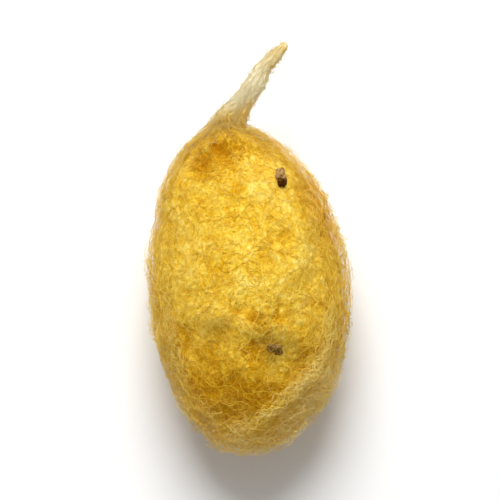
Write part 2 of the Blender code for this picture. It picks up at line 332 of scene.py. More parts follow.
def cube_sphere(cuts):
    """A cube rounded into a sphere: directions, faces, edges, and a flat place for each corner."""
    bm = bmesh.new()
    bmesh.ops.create_cube(bm, size=2.0)
    bmesh.ops.subdivide_edges(bm, edges=bm.edges, cuts=cuts, use_grid_fill=True)
    bm.verts.index_update()
    cube = np.array([v.co for v in bm.verts])
    faces = np.array([[v.index for v in f.verts] for f in bm.faces])
    edges = np.array([[v.index for v in e.verts] for e in bm.edges])
    bm.free()
    middle = cube[faces].mean(axis=1)
    axis = np.abs(middle).argmax(axis=1)
    side = 2 * axis + (middle[np.arange(len(faces)), axis] > 0)
    flat = [np.take_along_axis(cube[faces], ((axis + k) % 3)[:, None, None], 2)[..., 0] for k in (1, 2)]
    cell = np.stack([side % 3, side // 3], axis=-1)[:, None]
    uv = (cell + 0.5 + 0.49 * np.stack(flat, axis=-1)) / (3, 2)
    return unit(np.tan(cube * np.pi / 4)), faces, edges, uv.reshape(-1, 2)


def vertex_normals(points, faces):
    a, b, c, d = (points[faces[:, k]] for k in range(4))
    face_normals = np.cross(c - a, d - b)
    normals = np.zeros_like(points)
    for k in range(4):
        for axis in range(3):
            normals[:, axis] += np.bincount(faces[:, k], face_normals[:, axis], len(points))
    return unit(normals)


# ---- the wall

def aside(y):
    """Where the body's middle line lies along X at this place along its length."""
    return -LEAN * y - BOW * y**2


def oval_points(directions):
    points = directions * HALF + CENTRE
    points[:, 0] += aside(points[:, 1])
    return points


def crumb_centres():
    return [np.mean(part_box(node), axis=0) for node in CRUMBS]


def smoothed(values, edges, fixed, rounds):
    """The values where fixed, and elsewhere what spreads in from their neighbours."""
    total = np.bincount(edges.ravel(), minlength=len(values))
    for _ in range(rounds):
        sums = np.bincount(edges[:, 0], values[edges[:, 1]], len(values))
        sums += np.bincount(edges[:, 1], values[edges[:, 0]], len(values))
        values = np.where(fixed, values, sums / total)
    return values


def floss_gap(directions):
    """How thick the floss lies over the wall: thin on top and thick round the edge."""
    x, y, z = directions.T
    rim = (1 - z**2) ** 1.5
    towards = {"right": x, "left": -x, "near": -y, "far": y}
    sides = sum(most * np.maximum(towards[side], 0) ** power for side, (most, power) in GAP_SIDES.items())
    return GAP_TOP + rim * sides


def mound(x, y, x0, y0, reach):
    """1 at a place that is given as seen from above, and fading to 0 over this reach."""
    return np.exp(-((x - x0) ** 2 + (y - y0) ** 2) / reach**2)


def fading(points, centre, reach):
    """1 at a centre in space, and fading to 0 over this reach."""
    return np.exp(-((np.linalg.norm(points - centre, axis=1) / reach) ** 2))


def floss_swells(points):
    """The loose and the matted floss that is added where it bulges out beside the wall."""
    x, y = points[:, :2].T
    return sum(np.outer(more, mound(x, y, x0, y0, reach)) for x0, y0, reach, *more in GAP_SWELLS)


def grain(points):
    """The height of the felt's swells and lumps at these points."""
    heights = np.empty(len(points))
    for i, point in enumerate(points):
        place = Vector(point)
        height = sum(size * noise.noise(place / spacing) for spacing, size in SWELLS)
        for spacing, size in BILLOWS:
            at = place / spacing
            at += WARP * noise.noise_vector(at * WARP_SCALE)
            height += size * (abs(noise.noise(at)) - BILLOW_MEAN)
        heights[i] = height
    return heights


def smooth_step(values, start, end):
    t = np.clip((values - start) / (end - start), 0, 1)
    return t * t * (3 - 2 * t)


def scattered(points, spacing):
    """A smooth random vector for each point, which changes over this spacing."""
    return np.array([noise.noise_vector(Vector(point) / spacing) for point in points])


def uneven_mounds(points, rows, spacing, size):
    """The sum of round mounds, with the x, y, reach and height in rows, pushed out of round."""
    x, y = (points + size * scattered(points, spacing))[:, :2].T
    return sum(height * mound(x, y, x0, y0, reach) for x0, y0, reach, height in rows)


def hollows(points):
    """The depth of the uneven hollows in the top of the wall."""
    return uneven_mounds(points, HOLLOWS, *HOLLOW_UNEVEN) * (points[:, 2] > CENTRE[2])


def painted_light_and_shade(points):
    """The tone of the broad, uneven and mottled patches of painted light and shade."""
    spacing, share = PATCH_MOTTLE
    mottle = 1 + share * scattered(points, spacing)[:, 0]
    top = smooth_step(points[:, 2], CENTRE[2] - HALF[2] / 2, CENTRE[2])
    return uneven_mounds(points, PAINTED_LIGHT_AND_SHADE_PATCHES, *PATCH_UNEVEN) * mottle * top


def outer_forms(directions, edges):
    """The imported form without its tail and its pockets, and the same once it is evened out."""
    tree = BVHTree.FromObject(frame["nodes"]["cocoon"], bpy.context.evaluated_depsgraph_get())
    oval = oval_points(directions)
    reach = np.linalg.norm(oval - CENTRE, axis=1)
    found = np.array([tree.ray_cast(Vector(CENTRE), Vector(p - CENTRE))[3] for p in oval]) / reach
    near_crumb = np.min([np.linalg.norm(oval - c, axis=1) for c in crumb_centres()], axis=0) < POCKET_REACH
    good = (found < TAIL_REACH) & ~near_crumb
    found = smoothed(np.where(good, found, 1.0), edges, good, SPREAD_ROUNDS)
    eased = smoothed(found, edges, False, FORM_EASE)
    return [CENTRE + (oval - CENTRE) * share[:, None] for share in (found, eased)]


def wall_form():
    """The smooth wall that fibres follow, the room over it, its tints with the tone's painted light and
    shade, and its mesh data.
    """
    directions, faces, edges, uv = cube_sphere(WALL_CUTS)
    outer, eased = outer_forms(directions, edges)
    normals = vertex_normals(eased, faces)

    loose, matted = floss_swells(outer)
    gap = floss_gap(directions) + loose
    thick = gap + matted
    for centre in crumb_centres():
        near = fading(outer, centre, CRUMB_BED_REACH)
        gap = gap * (1 - near) + CRUMB_BED * near
    hollow = hollows(outer)
    wall = eased - normals * (gap + hollow)[:, None]
    room = np.maximum(dot(outer - wall, normals)[:, 0], LEAST_ROOM)

    spacing, size = HALO_UNEVEN
    uneven = size * np.array([noise.noise(Vector(p) / spacing) for p in outer])
    halo = smooth_step(thick + uneven, *HALO)
    # The tone paints shade on the near end, which is partly deeper silk as well, in the hollows and on the
    # wall under thick floss, and adds the patches' painted light and shade
    deeper_and_shaded = DEEP_END_COLOUR_AND_SHADE * smooth_step(wall[:, 1], *DEEP_END)
    deeper_and_shaded += HOLLOW_PAINTED_SHADE * np.clip(hollow / HOLLOW_DEPTH, 0, 1)
    tone = painted_light_and_shade(wall) - deeper_and_shaded * (1 - halo) - WALL_PAINTED_SHADE_UNDER_HALO * halo
    dirt = fading(outer, crumb_centres()[CRUMBS.index("leaf_crumb")] + DIRT_ASIDE, DIRT_REACH)
    return dict(wall=wall, room=room, faces=faces, uv=uv, tone=tone, halo=halo, dirt=dirt)


def felt_wall(form):
    points, faces = form["wall"], form["faces"]
    lumps = grain(points)
    # paler lumps and deeper creases are painted light and shade, and the tone adds its own
    shades = WALL_SHADE + lumps / WALL_LUMP_PAINTED_SHADING + form["tone"]
    raised = points + vertex_normals(points, faces) * lumps[:, None]
    values = {"shade": shades, "halo": form["halo"], "dirt": form["dirt"]}
    return mesh_object("felt_wall", raised, faces, uv=form["uv"], values=values)


# ---- fibres that follow the wall

class Guide:
    """The smooth surface that fibres crawl over, with its normal, room above it and tints at each face; its
    tone holds painted light and shade.
    """

    def __init__(self, form, room=None):
        self.points, self.faces = form["wall"], form["faces"]
        rooms = form["room"] if room is None else np.full(len(self.points), room)
        self.normal = unit(vertex_normals(self.points, self.faces)[self.faces].mean(axis=1))
        self.room = rooms[self.faces].mean(axis=1)
        self.seen = 1 - HIDDEN * smooth_step(-self.normal[:, 2], *UNDERSIDE)
        self.tone, self.halo, self.dirt = (form[k][self.faces].mean(axis=1) for k in ("tone", "halo", "dirt"))
        self.tree = BVHTree.FromPolygons([Vector(p) for p in self.points], self.faces.tolist())
        a, b, c, d = (self.points[self.faces[:, k]] for k in range(4))
        self.area = np.linalg.norm(np.cross(c - a, d - b), axis=1)

    def random_points(self, count, rng, weight=1.0):
        share = self.area * weight
        chosen = self.faces[rng.choice(len(self.faces), count, p=share / share.sum())]
        mix = rng.dirichlet((1, 1, 1, 1), count)
        return np.einsum("ij,ijk->ik", mix, self.points[chosen])

    def nearest(self, points):
        """For each point, the nearest place on the wall and its face."""
        found = [self.tree.find_nearest(Vector(point)) for point in points]
        return np.array([hit[0] for hit in found]), np.array([hit[2] for hit in found])


def roam(guide, starts, steps, stride, loop, low, high, flat, rng):
    """Curly paths that turn in loops and stay between two shares of the room over the wall.

    stride, loop, low and high are one number a fibre. flat says how much of the turning lies
    along the wall. Gives the spots, and the places and faces of the wall below them.
    """
    count = len(starts)
    place, face = guide.nearest(starts)
    normal = guide.normal[face]
    spot = place + normal * (guide.room[face] * rng.uniform(low, high))[:, None]
    heading = unit(np.cross(normal, rng.normal(size=(count, 3))))
    drift = unit(rng.normal(size=(count, 3)))
    beat = rng.uniform(*SWAY_BEATS, count)
    phase = rng.uniform(0, 2 * np.pi, count)
    track = [(spot, place, face)]
    for step in range(1, steps):
        drift = unit(drift + DRIFT * rng.normal(size=(count, 3)))
        side = np.sin(beat * step + phase) + SIDE_BIAS
        axis = unit(normal * side[:, None] * flat + drift)
        heading = unit(heading + np.cross(axis, heading) * (stride / loop)[:, None])
        moved = spot + heading * stride[:, None]
        place, face = guide.nearest(moved)
        normal = guide.normal[face]
        height = dot(moved - place, normal)[:, 0]
        room = guide.room[face]
        kept = np.clip(height, low * room, np.minimum(high * room, room + STRAY))
        inward = np.sign(kept - height)[:, None]
        turned = heading + normal * (inward * BOUNCE - dot(heading, normal))
        heading = np.where(inward != 0, unit(turned), heading)
        spot = place + normal * kept[:, None]
        track.append((spot, place, face))
    return [np.stack(part, axis=1) for part in zip(*track)]


def tapered(radii, count, steps, rng):
    """Radii from a range in mm, that thin out to both ends of each fibre."""
    radius = rng.uniform(*radii, count) * MM
    t = np.linspace(-1, 1, steps)
    return radius[:, None] * np.maximum(1 - np.abs(t) ** 6, THIN_END)[None, :] * np.ones((count, 1))


def waves(count, steps, beats, rng):
    """A slow rise and fall between 0 and 1 along each fibre."""
    t = np.linspace(0, 1, steps)[None, :]
    phase = rng.uniform(0, 2 * np.pi, (count, 1))
    return 0.5 + 0.5 * np.sin(2 * np.pi * beats * rng.uniform(0.5, 1.5, (count, 1)) * t + phase)


def either(first, one, other, rng):
    """A random number from one range where first is true, and elsewhere from the other."""
    return np.where(first, rng.uniform(*one, first.shape), rng.uniform(*other, first.shape))


def eased_paths(paths, rounds):
    """The paths with their kinks evened out, and their ends kept."""
    for _ in range(rounds):
        paths[:, 1:-1] = 0.5 * paths[:, 1:-1] + 0.25 * (paths[:, :-2] + paths[:, 2:])
    return paths


def felt_fibres(nap, rng, name, count):
    """Short curls matted on the wall, which follow its lumps."""
    steps, tips_painted_lighter = 11, 0.5
    loop = rng.uniform(*FELT_LOOPS, count) * MM
    stride = loop * rng.uniform(0.45, 0.75, count)
    low = np.zeros(count)
    high = rng.uniform(0.15, 1.0, count)
    starts = nap.random_points(count, rng, nap.seen * (1 - MATTED_HALO * nap.halo))
    spots, places, faces = roam(nap, starts, steps, stride, loop, low, high, flat=0.9, rng=rng)
    normals = nap.normal[faces]
    lumps = grain(places.reshape(-1, 3)).reshape(count, steps)
    paths = spots + normals * lumps[:, :, None]
    height = dot(spots - places, normals)[:, :, 0]
    radii = tapered(FELT_RADII, count, steps, rng)
    # fibres are painted paler where they stand higher off the wall and deeper low down, as painted light and
    # shade, and take the lumps' painted shading and the wall's tone
    shades = rng.normal(*FELT_SHADE, (count, 1)) + tips_painted_lighter * height / FELT_NAP
    shades = shades + lumps / FELT_LUMP_PAINTED_SHADING + nap.tone[faces]
    return fibre_tubes(name, paths, normals, radii, shades, halo=nap.halo[faces], dirt=nap.dirt[faces])


def floss_fibres(guide, rng, name, count):
    """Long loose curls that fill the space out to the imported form, thickest in its outer skin."""
    steps, skin_painted_lighter, halo_paler = 30, 0.4, 0.26
    weight = LEAST_DENSITY + np.minimum(guide.room / FULL_ROOM, FULLEST) ** DENSITY_POWER
    weight *= guide.seen * (1 + RIM_FLOSS * smooth_step(np.abs(guide.normal[:, 2]), *STEEP))
    loop = (SMALLEST_LOOP + LOOP_SPREAD * rng.random(count) ** 1.5) * MM
    stride = np.minimum(loop * rng.uniform(0.35, 0.6, count), LONGEST_STRIDE)
    skin = rng.random(count) < SKIN
    low = np.where(skin, SKIN_FROM, rng.uniform(0.0, 0.5, count))
    high = np.where(skin, 1.0, low + rng.uniform(0.3, 0.5, count))
    high = np.where(rng.random(count) < FLYAWAYS, FLYAWAY_HIGH, high)
    starts = guide.random_points(count, rng, weight)
    paths, places, faces = roam(guide, starts, steps, stride, loop, low, high, flat=0.35, rng=rng)
    normals, rooms, halo = guide.normal[faces], guide.room[faces], guide.halo[faces]
    share = dot(paths - places, normals)[:, :, 0] / rooms
    radii = tapered(FLOSS_RADII, count, steps, rng) * (1 + HALO_CLUMPS * halo)
    # the outer floss is painted paler and the inner floss deeper, as painted light and shade; the wall's tone
    # adds its painted light and shade
    shades = FLOSS_SHADE + skin_painted_lighter * (share - 0.5)
    shades = shades + (0.12 + 0.08 * halo) * rng.normal(size=(count, 1))
    shades += 0.8 * guide.tone[faces] + halo_paler * halo
    return fibre_tubes(name, paths, normals, radii, shades, halo=halo, dirt=guide.dirt[faces])


def bundle_threads(guide, rng, name):
    """Pale curly threads in loose bundles, along the wall's lower rim and its lip."""
    steps = 40
    lines, spreads, halos = [], [], []
    for route, count, spread, halo in BUNDLES:
        route = np.array(route) * MM
        way = np.concatenate([[0], np.cumsum(np.linalg.norm(np.diff(route, axis=0), axis=1))])
        length = way[-1] * rng.uniform(*BUNDLE_STRETCH, (count, 1))
        at = rng.random((count, 1)) * (way[-1] - length) + length * np.linspace(0, 1, steps)
        lines.append(np.stack([np.interp(at, way, route[:, k]) for k in (0, 1)], axis=-1))
        spreads.append(np.full((count, 1), spread))
        halos.append(halo * rng.random((count, 1)))
    line, spread = np.concatenate(lines), np.concatenate(spreads)
    count = len(line)
    along = unit(line[:, -1:] - line[:, :1])
    leftward = np.stack([-along[..., 1], along[..., 0]], axis=-1)
    off = spread * (rng.normal(size=(count, 1)) + SWERVE * (waves(count, steps, SWERVES, rng) - 0.5))
    off = off + CURL * (waves(count, steps, CURLS, rng) - 0.5)
    seen = line + leftward * off[..., None] + along * (CURL * waves(count, steps, CURLS, rng))[..., None]
    across = (seen[..., 0] - aside(seen[..., 1])) / HALF[0]
    rise = np.sqrt(np.maximum(1 - across**2 - (seen[..., 1] / HALF[1]) ** 2, 0))
    over = np.concatenate([seen, (CENTRE[2] + HALF[2] * rise)[..., None]], axis=-1)
    place, face = guide.nearest(over.reshape(-1, 3))
    normals = guide.normal[face]
    height = guide.room[face] * np.repeat(rng.uniform(*BUNDLE_HIGH, count), steps)
    paths = eased_paths((place + normals * height[:, None]).reshape(count, steps, 3), 1)
    radii = tapered(BUNDLE_RADII, count, steps, rng)
    halo = np.concatenate(halos) * np.ones(steps)
    shades = rng.normal(*BUNDLE_SHADE, (count, 1)) + 0.4 * halo
    return fibre_tubes(name, paths, normals.reshape(count, steps, 3), radii, shades, halo=halo)


def crumb_threads(guide, rng, name):
    """Golden threads that hold the crumbs: each runs from the wall up over one and down again."""
    steps = 16
    count = sum(CRUMB_THREADS.values())
    centre = np.repeat(crumb_centres(), [CRUMB_THREADS[node] for node in CRUMBS], axis=0)
    turn = rng.uniform(0, 2 * np.pi, count)
    run = np.stack([np.cos(turn), np.sin(turn), 0 * turn], axis=1)
    beside = np.stack([-np.sin(turn), np.cos(turn), 0 * turn], axis=1)
    shift = beside * rng.uniform(*CRUMB_THREAD_ASIDE, (count, 1)) * MM
    start = centre - run * rng.uniform(*CRUMB_THREAD_ENDS, (count, 1)) * MM + shift
    end = centre + run * rng.uniform(*CRUMB_THREAD_ENDS, (count, 1)) * MM + shift
    s = np.linspace(0, 1, steps)[None, :]
    chord = start[:, None] * (1 - s[..., None]) + end[:, None] * s[..., None]
    place, face = guide.nearest(chord.reshape(-1, 3))
    normals = guide.normal[face].reshape(count, steps, 3)
    sway = np.cross(normals, (end - start)[:, None]) * CRUMB_THREAD_SWAY
    sway = sway * (waves(count, steps, 1.4, rng) - 0.5)[..., None]
    top = CRUMB_THREAD_RISE * rng.uniform(0.45, 1.15, (count, 1))
    rise = CRUMB_THREAD_LIFT + top * np.sin(np.pi * s) ** 0.6
    paths = place.reshape(count, steps, 3) + sway + normals * rise[..., None]
    radii = tapered(CRUMB_THREAD_RADII, count, steps, rng)
    # the wall's tone brings its painted light and shade
    shades = rng.normal(*CRUMB_THREAD_SHADE, (count, 1)) + guide.tone[face].reshape(count, steps)
    dirt = 0.7 * guide.dirt[face].reshape(count, steps)
    return fibre_tubes(name, paths, normals, radii, shades, dirt=dirt)


# ---- the tail

def tail_line(t):
    """Points of the tail's middle line, its half widths and its half thicknesses at shares t."""
    ends = np.vstack([TAIL_ROUTE[0], TAIL_ROUTE, TAIL_ROUTE[-1]])
    t = np.asarray(t) * (len(TAIL_ROUTE) - 1)
    k = np.clip(t.astype(int), 0, len(TAIL_ROUTE) - 2)
    f = (t - k)[..., None]
    p, q, r, s = ends[k], ends[k + 1], ends[k + 2], ends[k + 3]
    line = 0.5 * (2 * q + (r - p) * f + (2 * p - 5 * q + 4 * r - s) * f**2 + (3 * q - p - 3 * r + s) * f**3)
    return line[..., :3], line[..., 3] * TAIL_HALF_WIDTH, line[..., 3] * TAIL_HALF_THICKNESS


def tail_axes(t):
    """Directions along the tail's width and through its thickness at shares t."""
    step = 0.002
    t = np.clip(t, step, 1 - step)
    along = unit(tail_line(t + step)[0] - tail_line(t - step)[0])
    across = unit(np.cross(along, np.array([0, 0, 1.0])))
    turn = (ROOT_TURN + (TIP_TURN - ROOT_TURN) * t)[..., None]
    upward = np.cross(across, along)
    return across * np.cos(turn) + upward * np.sin(turn), upward * np.cos(turn) - across * np.sin(turn)


def tail_spot(t, angle, out):
    """A place round the tail's section, and the direction that faces out there."""
    points, width, thickness = tail_line(t)
    across, upward = tail_axes(t)
    x, z = np.cos(angle)[..., None], np.sin(angle)[..., None]
    spot = points + (out * width)[..., None] * x * across + (out * thickness)[..., None] * z * upward
    return spot, unit(0.4 * x * across + z * upward)


def paleness(t, angle):
    """0 in the golden root, 1 in the pale silk, which begins sooner along the left edge, less at the tip."""
    thins = 1 - TIP_DULLS * smooth_step(t, *TAIL_THINS)
    return thins * smooth_step(t - LEFT_LEADS * np.cos(angle), *TAIL_PALES)


@np.vectorize
def tail_relief(t, angle):
    """How much the ribbon stands out at a place: lengthwise streaks on its faces and teeth at its edges."""
    across = math.cos(angle)
    round_it = Vector((across, 0, math.sin(angle)))
    streaks = sum(
        height * noise.noise(fine * round_it + Vector((0, quick * t, 0))) for fine, quick, height in STREAKS
    )
    teeth = 0.10 + BROAD_TEETH * noise.noise(Vector((across, 30 * t, 5)))
    teeth += FINE_TEETH * (0.3 - abs(noise.noise(Vector((across, 60 * t, 9)))))
    return streaks + teeth * across**4 * (0.75 + 0.25 * across)


@np.vectorize
def tail_mottle(t, angle):
    """From about -1 in the duller places of the tail's silk to 1 in the paler ones."""
    return noise.noise(Vector((2 * math.cos(angle), 20 * t, 2 * math.sin(angle))))


def silk_tail():
    """The tail's pressed ribbon: a flat tongue with lengthwise streaks and ragged edges."""
    steps, sides = 200, 48
    t = TAIL_LEAVES + (1 - TAIL_LEAVES) * np.linspace(0, 1, steps)[:, None] * np.ones(sides)
    angle = 2 * np.pi * np.arange(sides) / sides * np.ones((steps, 1))
    opening = np.clip((t - TAIL_LEAVES) / 0.10, 0.05, 1) * np.sqrt(np.clip((1.004 - t) / 0.05, 0, 1))
    rings, _ = tail_spot(t, angle, 0.80 * opening * (1 + tail_relief(t, angle)))
    index = np.arange(steps * sides).reshape(steps, sides)
    turned = np.roll(index, -1, axis=1)
    quads = np.stack([index[:-1], index[1:], turned[1:], turned[:-1]], axis=-1).reshape(-1, 4)
    tail = mesh_object("silk_tail", rings.reshape(-1, 3), quads, values={"shade": paleness(t, angle).ravel()})
    bm = bmesh.new()
    bm.from_mesh(tail.data)
    bmesh.ops.holes_fill(bm, edges=[e for e in bm.edges if e.is_boundary])
    bmesh.ops.recalc_face_normals(bm, faces=bm.faces)
    bm.to_mesh(tail.data)
    bm.free()
    return tail


def tail_strands(rng, name, count):
    """Fine silk strands that wind along the tail and stand off it in a fringe, mostly on its right."""
    steps = 16
    spike = rng.random((count, 1)) < SPIKES
    first = either(spike, SPIKE_STARTS, STRAND_STARTS, rng)
    length = either(spike, SPIKE_RUNS, STRAND_RUNS, rng)
    last = np.minimum(first + length, rng.uniform(*STRAND_ENDS, (count, 1)))
    t = first + (last - first) * np.linspace(0, 1, steps)
    t = np.where(spike & (rng.random((count, 1)) < SPIKES_BACK), t[:, ::-1], t)
    edge = np.pi * (rng.random((count, 1)) < SPIKES_LEFT) + rng.normal(0, 0.6, (count, 1))
    turn = np.where(spike, edge, rng.uniform(0, 2 * np.pi, (count, 1)))
    swing = np.where(spike, 0.3, rng.uniform(*STRAND_WINDS, (count, 1)))
    angle = turn + swing * (waves(count, steps, 0.8, rng) - 0.5)
    out = rng.uniform(*STRAND_OUT, (count, 1)) + 0.10 * waves(count, steps, 2.5, rng)
    out = out * (1 + tail_relief(t, angle))
    stands_off = rng.uniform(*SPIKE_HEIGHTS, (count, 1)) * MM * np.linspace(0, 1, steps) ** 1.5
    out = out + spike * stands_off / tail_line(t)[1]
    paths, normals = tail_spot(t, angle, out)
    radii = tapered(TAIL_RADII, count, steps, rng)
    shades = 0.05 + 0.95 * paleness(t, angle) + 0.5 * tail_mottle(t, angle) - 0.30 * spike
    shades += rng.normal(0, 0.16, (count, 1))
    return fibre_tubes(name, paths, normals, radii, shades)


def shoulder_starts(guide, rng, count):
    """Places on the wall's far shoulder, whether each is a left one, and how far left it lies."""
    left = rng.random(count) < LEFT_STRANDS
    turn = np.radians(np.where(left, rng.triangular(*LEFT_TURNS, count), rng.uniform(*TURNS, count)))
    rise = either(left, LEFT_RISES, RISES, rng)
    level = np.sqrt(1 - rise**2)
    directions = np.stack([-np.sin(turn) * level, np.cos(turn) * level, rise], axis=1)
    start, face = guide.nearest(oval_points(directions))
    above = guide.room[face] * rng.uniform(0.3, 1.0, count)
    return start + guide.normal[face] * above[:, None], left[:, None], turn


def shoulder_strands(guide, rng, name, count):
    """Strands that gather from the far shoulder of the wall and run up into the tail."""
    spread, run = 20, 10
    steps = spread + run
    start, left, turn = shoulder_starts(guide, rng, count)

    joins = either(turn < RIGHT_SHOULDER, RIGHT_JOINS, JOINS, rng)
    angle = rng.uniform(0, 2 * np.pi, (count, 1))
    out = rng.uniform(0.80, 1.05, (count, 1))
    tail_t = joins[:, None] + np.linspace(0, 1, run) * rng.uniform(*SHOULDER_RUNS, (count, 1))
    upper, upper_normals = tail_spot(np.minimum(tail_t, 0.98), angle, out * np.ones(run))

    s = np.linspace(0, 1, spread, endpoint=False)[None, :, None]
    lower = ((1 - s) * start[:, None] + s * upper[:, :1]).reshape(-1, 3)
    place, face = guide.nearest(lower)
    low_normal = guide.normal[face]
    share = rng.uniform(0.1, 0.9, (count, 1)) + 0.3 * (waves(count, spread, 3.0, rng) - 0.5)
    wanted = guide.room[face][:, None] * np.clip(share, 0.05, 1).reshape(-1, 1)
    lower = np.where(dot(lower - place, low_normal) < wanted, place + low_normal * wanted, lower)

    paths = eased_paths(np.concatenate([lower.reshape(count, spread, 3), upper], axis=1), 8)
    calm = 1 - 0.8 * smooth_step(np.arange(steps), 0.6 * spread, steps)
    slow = waves(count, steps, 2.0, rng) - 0.5
    quick = waves(count, steps, 7.0, rng) - 0.5
    sway = calm * MM * (slow + 0.7 * quick)
    normals = np.concatenate([low_normal.reshape(count, spread, 3), upper_normals], axis=1)
    paths += np.cross(unit(np.gradient(paths, axis=1)), normals) * sway[:, :, None]
    radii = tapered(SHOULDER_RADII, count, steps, rng)
    tail_share = np.concatenate([np.zeros((count, spread)), paleness(tail_t, angle)], axis=1)
    near_tail = smooth_step(np.arange(steps), 0.2 * spread, spread)
    shades = (0.15 + 0.30 * left) * near_tail + 0.7 * tail_share + rng.normal(0, 0.10, (count, 1))
    return fibre_tubes(name, paths, normals, radii, shades)


# ---- crumbs

def crumb(node, material, waist=None):
    """A finer, rougher copy of a packed crumb. waist is where along Y it is drawn in, and how far."""
    bm = bmesh.new()
    bm.from_mesh(frame["nodes"][node].data)
    bmesh.ops.remove_doubles(bm, verts=bm.verts, dist=1e-6)
    bmesh.ops.subdivide_edges(bm, edges=bm.edges, cuts=1, use_grid_fill=True)
    bm.normal_update()
    for vert in bm.verts:
        rough = sum(height * noise.noise(vert.co / spacing) for spacing, height in ROUGHNESS)
        if waist:
            rough -= waist[1] / MM * math.exp(-(((vert.co.y - waist[0]) / WAIST_REACH) ** 2))
        vert.co += vert.normal * rough * MM
    mesh = bpy.data.meshes.new(node + "_piece")
    bm.to_mesh(mesh)
    bm.free()
    mesh.shade_smooth()
    mesh.materials.append(material)
    return new_object(node + "_piece", mesh)


# ---- materials

def new_material(name):
    material = bpy.data.materials.new(name)
    material.use_nodes = True
    tree = material.node_tree
    return material, tree, tree.nodes["Principled BSDF"]


def add(tree, kind, inputs=None, **settings):
    node = tree.nodes.new(kind)
    for key, value in settings.items():
        setattr(node, key, value)
    for key, value in (inputs or {}).items():
        if isinstance(value, bpy.types.NodeSocket):
            tree.links.new(value, node.inputs[key])
        else:
            node.inputs[key].default_value = value
    return node


def maths(tree, operation, *values):
    return add(tree, "ShaderNodeMath", dict(enumerate(values)), operation=operation).outputs[0]


def ramp(tree, fac, stops):
    node = add(tree, "ShaderNodeValToRGB", {"Fac": fac})
    elements = node.color_ramp.elements
    while len(elements) < len(stops):
        elements.new(0.5)
    for element, (place, colour) in zip(elements, stops):
        element.position = place
        element.color = (*colour, 1.0)
    return node.outputs["Color"]


def object_place(tree):
    return add(tree, "ShaderNodeTexCoord").outputs["Object"]


def painted(tree, name):
    """The number of this name that the mesh carries at each point."""
    return add(tree, "ShaderNodeAttribute", attribute_name=name).outputs["Fac"]


def mix_colours(tree, factor, a, b):
    """A mix node has sockets for every kind of value: 6, 7 and 2 are the ones for colours."""
    return add(tree, "ShaderNodeMix", {0: factor, 6: a, 7: b}, data_type="RGBA").outputs[2]


def add_bump(tree, shader, strength, distance, height):
    bump = add(tree, "ShaderNodeBump", {"Strength": strength, "Distance": distance, "Height": height})
    tree.links.new(bump.outputs["Normal"], shader.inputs["Normal"])


def noise_value(tree, place, scale, detail=3.0):
    """A mottling from 0 to 1. scale is how many of its lumps lie along a metre."""
    inputs = {"Vector": place, "Scale": scale, "Detail": detail, "Roughness": 0.6}
    return add(tree, "ShaderNodeTexNoise", inputs).outputs["Fac"]


def filaments(tree, place, scale, offset):
    """Thin curly lines, 1 on a line and 0 between: where a noise passes through its middle value."""
    moved = add(tree, "ShaderNodeMapping", {"Vector": place, "Location": (offset, 2 * offset, 3 * offset)})
    field = add(tree, "ShaderNodeTexNoise", {
        "Vector": moved.outputs["Vector"], "Scale": scale, "Detail": 1.5, "Roughness": 0.5, "Distortion": 0.6,
    })
    away = maths(tree, "ABSOLUTE", maths(tree, "SUBTRACT", field.outputs["Fac"], 0.5))
    inputs = {"Value": away, "From Min": 0.0, "From Max": 0.055, "To Min": 1.0, "To Max": 0.0}
    return add(tree, "ShaderNodeMapRange", inputs).outputs["Result"]


def set_finish(shader, roughness, specular, sheen=0.0, tint=(1, 1, 1)):
    finish = {
        "Roughness": roughness, "Specular IOR Level": specular, "Specular Tint": (*tint, 1.0),
        "Sheen Weight": sheen, "Sheen Roughness": 0.5, "Sheen Tint": (*tint, 1.0),
    }
    for key, value in finish.items():
        shader.inputs[key].default_value = value


GOLD = (
    (0.00, (0.54, 0.240, 0.002)),
    (0.30, (0.72, 0.385, 0.007)),
    (0.62, (0.90, 0.615, 0.058)),
    (1.00, (0.97, 0.785, 0.200)),
)
HALO_GOLD = (
    (0.00, (0.70, 0.375, 0.016)),
    (0.50, (0.96, 0.615, 0.075)),
    (1.00, (1.00, 0.810, 0.300)),
)
PALE_SILK = (
    (0.00, (0.78, 0.520, 0.100)),
    (0.40, (0.77, 0.585, 0.215)),
    (0.70, (0.82, 0.690, 0.370)),
    (1.00, (0.90, 0.820, 0.560)),
)
BARK = (
    (0.30, (0.040, 0.011, 0.001)),
    (0.48, (0.085, 0.030, 0.003)),
    (0.60, (0.210, 0.110, 0.034)),
    (0.74, (0.410, 0.245, 0.090)),
)
LEAF = (
    (0.34, (0.080, 0.040, 0.006)),
    (0.52, (0.150, 0.085, 0.022)),
    (0.72, (0.340, 0.230, 0.090)),
)
BARK_DARK, LEAF_DARK = (9.8 * MM, 11.0 * MM), (-10.0 * MM, -7.2 * MM)  # from darkest to lightest along Y; the bark's lighter end, towards the key light, is partly its own paler bark and partly a painted highlight
DIRT = (0.18, 0.115, 0.045, 1.0)
FILAMENTS = ((800.0, 0.0), (1200.0, 0.1), (1700.0, 0.2))  # scale and offset of each layer of thin lines


def silk_colour(tree, shade):
    """Golden on the wall, a duller, paler gold out in the halo of floss, and soiled by the leaf crumb."""
    clean = mix_colours(tree, painted(tree, "halo"), ramp(tree, shade, GOLD), ramp(tree, shade, HALO_GOLD))
    patchy = maths(tree, "MULTIPLY_ADD", noise_value(tree, object_place(tree), 1200.0), 1.8, -0.25)
    soiled = maths(tree, "MULTIPLY", patchy, painted(tree, "dirt"))
    return mix_colours(tree, soiled, clean, DIRT)


